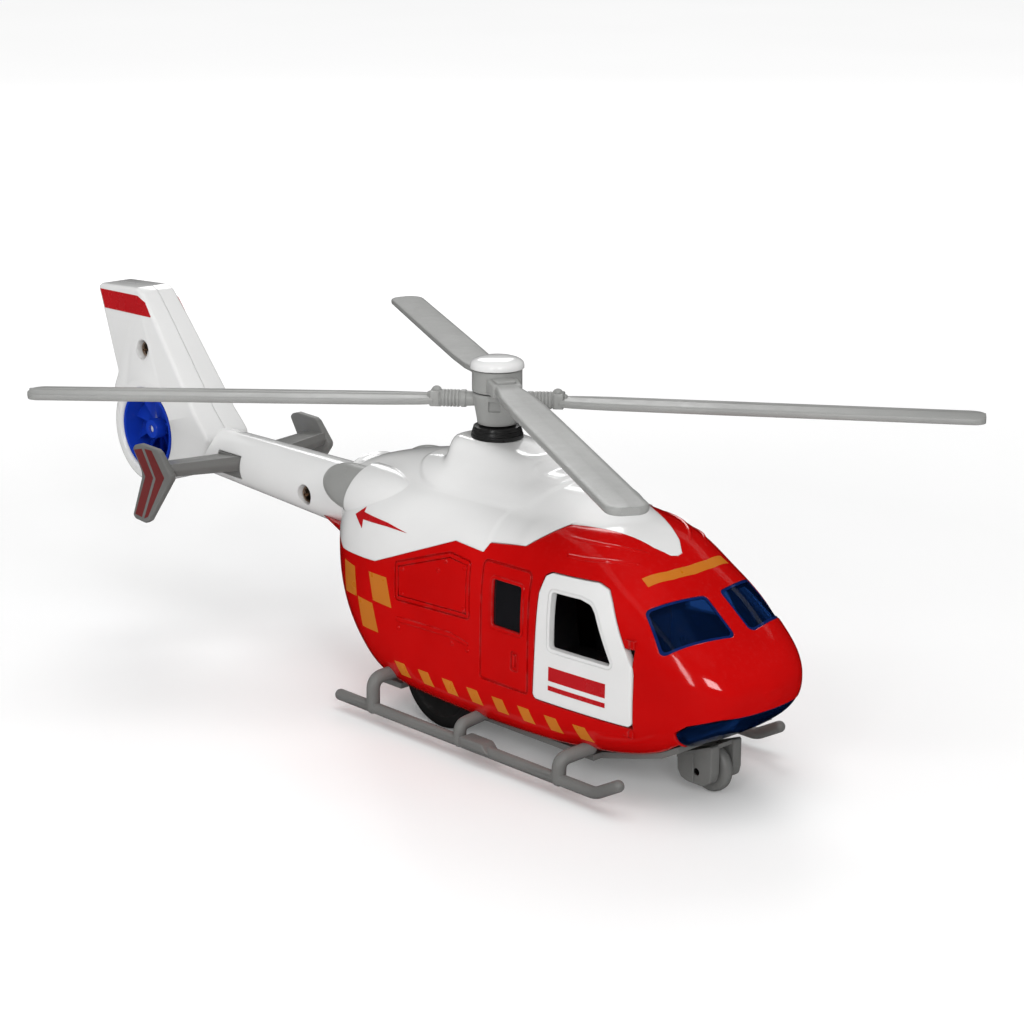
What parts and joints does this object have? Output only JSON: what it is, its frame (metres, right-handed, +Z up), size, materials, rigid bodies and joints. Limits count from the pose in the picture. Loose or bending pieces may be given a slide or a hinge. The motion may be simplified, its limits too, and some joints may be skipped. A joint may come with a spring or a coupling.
{
  "type": "toy helicopter",
  "caption": "Moulded toy rescue helicopter with folding rotor, ducted tail fan, skids, hidden wheels, opening cockpit doors and a push button.",
  "frame": {"origin": "on the floor under the middle of the bounding box", "axes": "+X towards the nose, +Y to the left (port) side, +Z up"},
  "size_m": [0.293, 0.1718, 0.101],
  "materials": {
    "red_gloss": "high gloss moulded red, faint moulding ripple",
    "white_gloss": "high gloss moulded white",
    "grey_plastic": "satin warm grey moulding",
    "blue_clear": "translucent deep blue",
    "smoke_clear": "near black smoked glazing",
    "black_plastic": "satin black",
    "tyre_black": "matt black",
    "steel": "bright zinc plated",
    "board_green": "solder resist"
  },
  "bodies": {
    "airframe": {"cabin_shell": "red_gloss", "top_cowl": "white_gloss", "tail_boom_left": "white_gloss", "tail_boom_right": "white_gloss", "stabiliser": "grey_plastic", "tail_screws": "steel", "belly_plate": "grey_plastic", "battery_door": "grey_plastic", "battery_door_screw": "steel", "case_screws": "steel", "skid_left": "grey_plastic", "skid_right": "grey_plastic", "nose_gear_bracket": "grey_plastic", "nose_axle": "steel", "windscreen": "blue_clear", "chin_window": "blue_clear", "side_windows": "smoke_clear", "cabin_liner": "black_plastic", "circuit_board": "board_green", "switch": "black_plastic", "speaker": "black_plastic", "battery_cells": "steel", "battery_contacts": "steel", "button_spring": "steel", "exhaust_left": "grey_plastic", "mast_collar": "black_plastic", "hinge_lugs": "red_gloss"},
    "rotor": {"rotor_shaft": "steel", "shaft_clip": "steel", "lower_blades": "grey_plastic", "rotor_cap": "white_gloss", "rotor_screw": "steel"},
    "upper_rotor": {"upper_blades": "grey_plastic"},
    "fan": {"tail_fan": "blue_clear"},
    "main_wheels": {"main_axle": "steel", "main_wheel_left": "tyre_black", "main_wheel_right": "tyre_black"},
    "nose_wheel_body": {"nose_wheel": "grey_plastic"},
    "left_door": {"door_left": "white_gloss"},
    "right_door": {"door_right": "white_gloss"},
    "button": {"sound_button": "grey_plastic"}
  },
  "joints": [
    {"name": "rotor_spin", "type": "hinge", "parent": "airframe", "child": "rotor", "pos_m": [0.0329, 0, 0.085], "axis": [0, 0, 1], "continuous": true},
    {"name": "blade_fold", "type": "hinge", "parent": "rotor", "child": "upper_rotor", "pos_m": [0.0329, 0, 0.094], "axis": [0, 0, 1], "range_deg": [-20, 70]},
    {"name": "tail_fan_spin", "type": "hinge", "parent": "airframe", "child": "fan", "pos_m": [-0.1211, 0, 0.0547], "axis": [0, 1, 0], "continuous": true},
    {"name": "main_wheels_spin", "type": "hinge", "parent": "airframe", "child": "main_wheels", "pos_m": [0.0314, 0, 0.015], "axis": [0, 1, 0], "continuous": true},
    {"name": "nose_wheel_spin", "type": "hinge", "parent": "airframe", "child": "nose_wheel_body", "pos_m": [0.1129, 0, 0.0065], "axis": [0, 1, 0], "continuous": true},
    {"name": "left_door_hinge", "type": "hinge", "parent": "airframe", "child": "left_door", "pos_m": [0.1063, 0.0233, 0.03], "axis": [0, 0, 1], "range_deg": [-65, 0]},
    {"name": "right_door_hinge", "type": "hinge", "parent": "airframe", "child": "right_door", "pos_m": [0.1063, -0.0233, 0.03], "axis": [0, 0, 1], "range_deg": [0, 65]},
    {"name": "sound_button_press", "type": "slide", "parent": "airframe", "child": "button", "axis": [1, 0, 0], "range_m": [0, 0.002], "stiffness_N_per_m": 400, "springref_m": -0.001}
  ]
}
